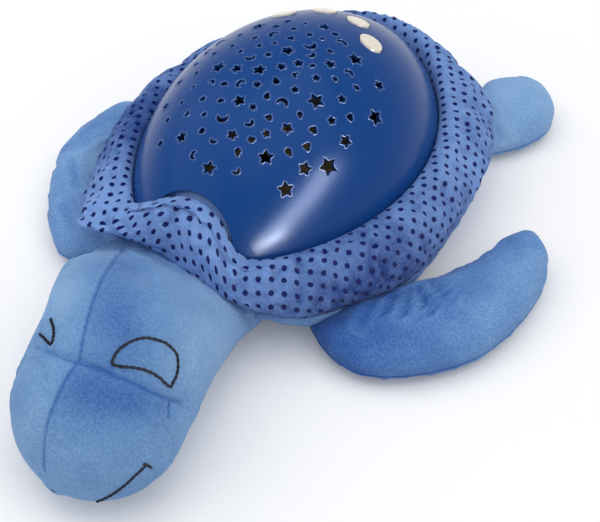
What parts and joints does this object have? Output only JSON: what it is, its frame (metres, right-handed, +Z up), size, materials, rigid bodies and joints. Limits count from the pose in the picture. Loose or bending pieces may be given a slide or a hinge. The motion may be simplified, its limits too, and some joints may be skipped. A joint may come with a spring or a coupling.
{
  "type": "star night light projector",
  "caption": "Stuffed turtle with a rigid domed shell pierced by star and moon cut-outs, a light deck and push buttons, for projecting stars onto a ceiling.",
  "frame": {"origin": "centre of the toy's plan at floor level", "axes": "+Z up, the turtle looks along -Y, its left is +X"},
  "size_m": [0.2708, 0.3822, 0.0996],
  "materials": {
    "dome_plastic": "gloss",
    "tub_plastic": "satin",
    "deck_plastic": "matte",
    "cap_plastic": "gloss",
    "white_plastic": "matte",
    "board_green": "satin",
    "led_red_lens": "gloss",
    "led_green_lens": "gloss",
    "led_blue_lens": "gloss",
    "chip_black": "matte",
    "capacitor_sleeve": "gloss",
    "switch_metal": "satin",
    "plunger_black": "matte",
    "speaker_basket": "satin",
    "speaker_paper": "matte",
    "magnet_metal": "satin",
    "cell_jacket": "satin",
    "spring_steel": "satin",
    "contact_brass": "satin",
    "screw_steel": "satin",
    "lead_red": "satin",
    "lead_black": "satin",
    "lead_orange": "satin",
    "ribbon_grey": "satin",
    "collar_cloth": "woven, dotted",
    "velvet_cloth": "short pile"
  },
  "bodies": {
    "toy": {"star_dome": "dome_plastic", "base_tub": "tub_plastic", "light_deck": "deck_plastic", "led_board": "board_green", "led_red": "led_red_lens", "led_green": "led_green_lens", "led_blue": "led_blue_lens", "main_board": "board_green", "sound_chip": "chip_black", "capacitors": "capacitor_sleeve", "wire_sockets": "white_plastic", "button_board": "board_green", "tact_switches": "switch_metal", "speaker_frame": "speaker_basket", "speaker_cone": "speaker_paper", "speaker_magnet": "magnet_metal", "speaker_ring": "white_plastic", "battery_box": "white_plastic", "battery_1": "cell_jacket", "battery_2": "cell_jacket", "battery_3": "cell_jacket", "battery_springs": "spring_steel", "contact_plates": "contact_brass", "housing_screws": "screw_steel", "board_screws": "screw_steel", "battery_leads": "lead_red", "speaker_leads": "lead_black", "led_leads": "lead_orange", "button_ribbon": "ribbon_grey", "collar": "collar_cloth", "belly": "velvet_cloth", "head": "velvet_cloth", "flipper_front_left": "velvet_cloth", "flipper_front_right": "velvet_cloth", "flipper_rear_left": "velvet_cloth", "flipper_rear_right": "velvet_cloth", "tail": "velvet_cloth"},
    "button_outer_right": {"button_outer_right": "cap_plastic", "plunger_outer_right": "plunger_black"},
    "button_inner_right": {"button_inner_right": "cap_plastic", "plunger_inner_right": "plunger_black"},
    "button_inner_left": {"button_inner_left": "cap_plastic", "plunger_inner_left": "plunger_black"},
    "button_outer_left": {"button_outer_left": "cap_plastic", "plunger_outer_left": "plunger_black"},
    "battery_door": {"battery_door": "tub_plastic", "door_screws": "screw_steel"}
  },
  "joints": [
    {"name": "press_outer_right", "type": "slide", "parent": "toy", "child": "button_outer_right", "axis": [0, -0.4067, -0.9135], "range_m": [0, 0.0008], "stiffness_N_per_m": 1200, "springref_m": -0.0004},
    {"name": "press_inner_right", "type": "slide", "parent": "toy", "child": "button_inner_right", "axis": [0, -0.4067, -0.9135], "range_m": [0, 0.0008], "stiffness_N_per_m": 1200, "springref_m": -0.0004},
    {"name": "press_inner_left", "type": "slide", "parent": "toy", "child": "button_inner_left", "axis": [0, -0.4067, -0.9135], "range_m": [0, 0.0008], "stiffness_N_per_m": 1200, "springref_m": -0.0004},
    {"name": "press_outer_left", "type": "slide", "parent": "toy", "child": "button_outer_left", "axis": [0, -0.4067, -0.9135], "range_m": [0, 0.0008], "stiffness_N_per_m": 1200, "springref_m": -0.0004},
    {"name": "battery_door_lift", "type": "slide", "parent": "toy", "child": "battery_door", "axis": [0, 0, -1], "range_m": [0, 0.015]}
  ]
}
